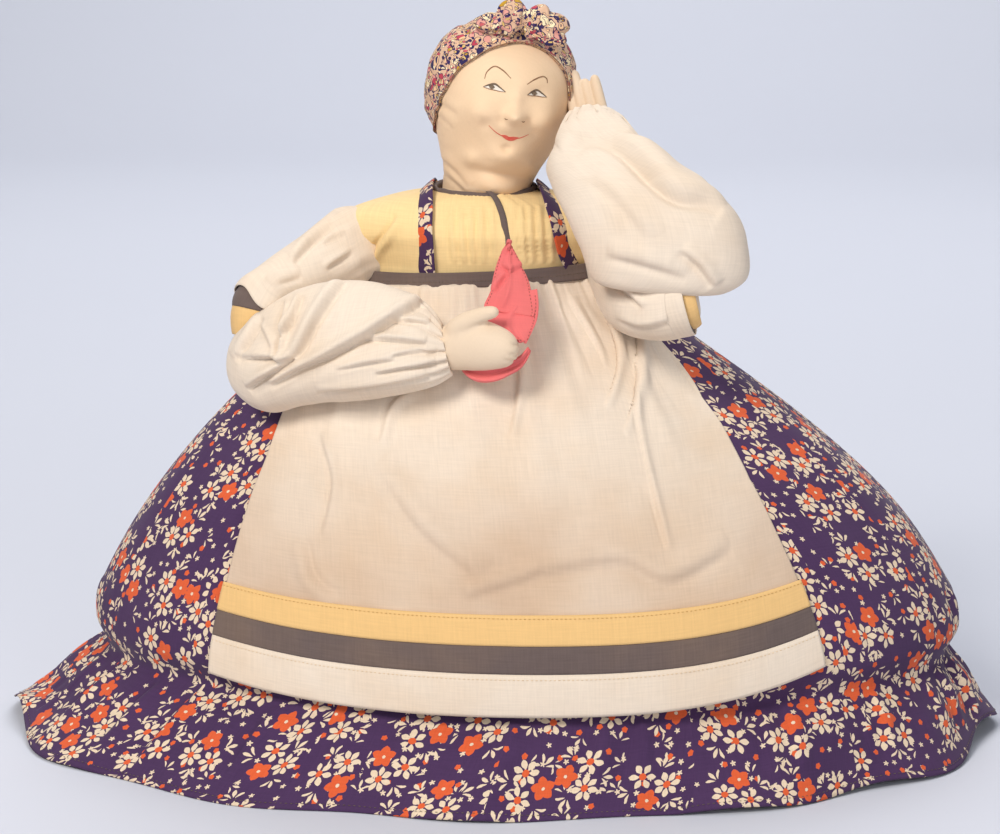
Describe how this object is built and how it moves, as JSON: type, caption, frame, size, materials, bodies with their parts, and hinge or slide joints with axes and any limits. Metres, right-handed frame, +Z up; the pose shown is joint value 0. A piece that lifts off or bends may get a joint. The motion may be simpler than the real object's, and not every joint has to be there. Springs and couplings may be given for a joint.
{
  "type": "tea cosy doll",
  "caption": "Stuffed cloth peasant woman whose wide padded skirt drops over a teapot; head, arms and apron move.",
  "frame": {"origin": "on the table under the middle of the skirt's hem", "axes": "+X towards the doll's left, +Y towards its back, +Z up"},
  "size_m": [0.536, 0.344, 0.3827],
  "materials": {
    "purple_floral_cotton": "printed cotton, matt",
    "cream_cotton": "plain cotton, stained, matt",
    "yellow_cotton": "plain cotton, matt",
    "grey_cotton": "plain cotton, top-stitched, matt",
    "skin_cloth": "stuffed calico, matt",
    "scarf_print": "printed cotton, matt",
    "red_cotton": "plain cotton, stitched hem, matt",
    "wadding": "quilted wadding, hidden"
  },
  "bodies": {
    "body": {"cosy_lining": "cream_cotton", "cosy_padding": "wadding", "skirt": "purple_floral_cotton", "torso": "skin_cloth", "blouse": "yellow_cotton", "chest_band": "grey_cotton", "strap_right": "purple_floral_cotton", "strap_left": "purple_floral_cotton", "neck_binding": "grey_cotton", "placket_binding": "grey_cotton", "apron_upper_panel": "cream_cotton"},
    "head": {"head": "skin_cloth", "scarf_wrap": "scarf_print", "scarf_knot": "scarf_print"},
    "upper_arm_right": {"upper_arm_right": "skin_cloth", "upper_sleeve_right": "cream_cotton", "sleeve_grey_band_right": "grey_cotton", "sleeve_yellow_band_right": "yellow_cotton"},
    "forearm_right": {"forearm_right": "skin_cloth", "lower_sleeve_right": "cream_cotton", "hand_right": "skin_cloth", "kerchief": "red_cotton"},
    "upper_arm_left": {"upper_arm_left": "skin_cloth", "upper_sleeve_left": "cream_cotton", "sleeve_grey_band_left": "grey_cotton", "sleeve_yellow_band_left": "yellow_cotton"},
    "forearm_left": {"forearm_left": "skin_cloth", "lower_sleeve_left": "cream_cotton", "hand_left": "skin_cloth"},
    "apron_flap": {"apron_lower_panel": "cream_cotton", "apron_yellow_band": "yellow_cotton", "apron_grey_band": "grey_cotton", "apron_hem_band": "cream_cotton"}
  },
  "joints": [
    {"name": "head_tilt", "type": "hinge", "parent": "body", "child": "head", "pos_m": [-0.008, 0, 0.283], "axis": [0, -1, 0], "range_deg": [0, 10]},
    {"name": "shoulder_right", "type": "hinge", "parent": "body", "child": "upper_arm_right", "pos_m": [-0.085, -0.006, 0.261], "axis": [-1, 0, 0], "range_deg": [0, 40]},
    {"name": "elbow_right", "type": "hinge", "parent": "upper_arm_right", "child": "forearm_right", "pos_m": [-0.12214, -0.05976, 0.20822], "axis": [0, 0, -1], "range_deg": [0, 28]},
    {"name": "shoulder_left", "type": "hinge", "parent": "body", "child": "upper_arm_left", "pos_m": [0.07, 0.002, 0.27], "axis": [0, 0, 1], "range_deg": [0, 35]},
    {"name": "elbow_left", "type": "hinge", "parent": "upper_arm_left", "child": "forearm_left", "pos_m": [0.09989, -0.07485, 0.25399], "axis": [0, 1, 0], "range_deg": [0, 30]},
    {"name": "apron_lift", "type": "hinge", "parent": "body", "child": "apron_flap", "pos_m": [0, -0.07, 0.148], "axis": [-1, 0, 0], "range_deg": [0, 25]}
  ]
}
